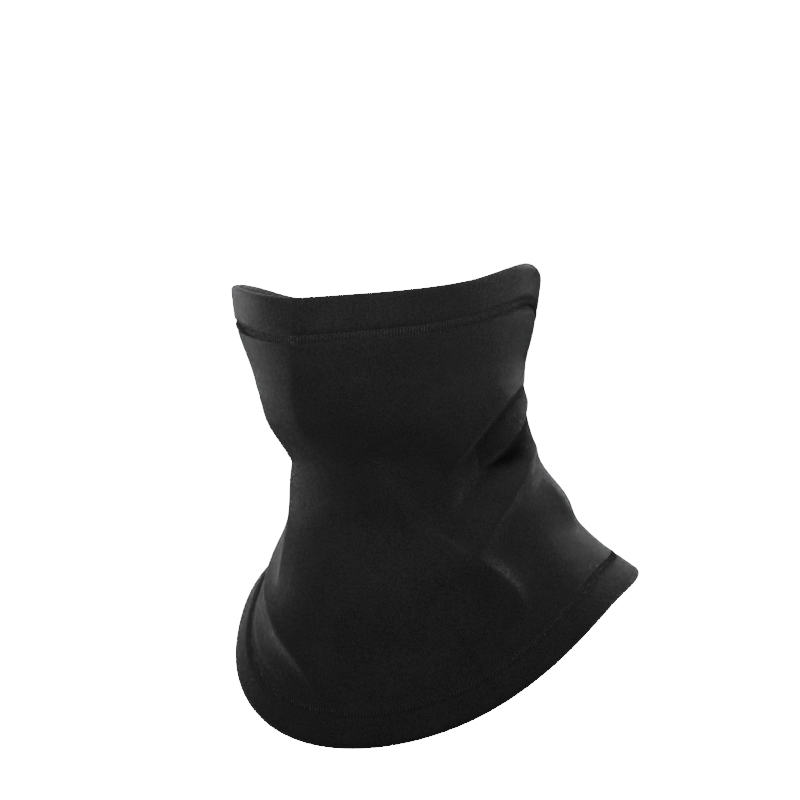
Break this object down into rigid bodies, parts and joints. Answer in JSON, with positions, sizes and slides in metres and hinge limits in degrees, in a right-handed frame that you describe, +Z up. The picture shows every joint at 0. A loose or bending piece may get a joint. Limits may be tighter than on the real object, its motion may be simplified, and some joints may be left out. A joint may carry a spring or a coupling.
{
  "type": "neck gaiter",
  "caption": "Black fleece neck gaiter shaped as worn, covering nose, neck and shoulders, with turned hems and ladder stitching.",
  "frame": {"origin": "the middle of the collar, at the narrowest part, where the wearer's neck holds the gaiter", "axes": "+Z up along the neck, -Y to the wearer's front, +X to the wearer's left"},
  "size_m": [0.2113, 0.269, 0.2581],
  "materials": {
    "fleece": "soft brushed microfleece, black, matt with a pale bloom at grazing angles",
    "thread": "black spun polyester sewing thread",
    "label": "blank grey satin tape"
  },
  "bodies": {
    "root": {"face_section": "fleece", "face_back_seam_allowance": "fleece", "face_back_seam_thread": "thread", "neck_section": "fleece", "neck_back_seam_allowance": "fleece", "neck_back_seam_thread": "thread", "bottom_hem": "fleece", "bottom_hem_needle_thread_inner": "thread", "bottom_hem_looper_thread": "thread", "bottom_hem_needle_thread_outer": "thread", "care_label": "label"},
    "face_edge": {"top_hem": "fleece", "top_hem_needle_thread_inner": "thread", "top_hem_looper_thread": "thread", "top_hem_needle_thread_outer": "thread"}
  },
  "joints": [
    {"name": "face_edge_pull_down", "type": "slide", "parent": "root", "child": "face_edge", "axis": [0, 0, -1], "range_m": [0, 0.08], "deforming": ["face_section", "face_back_seam_allowance", "face_back_seam_thread"]}
  ]
}
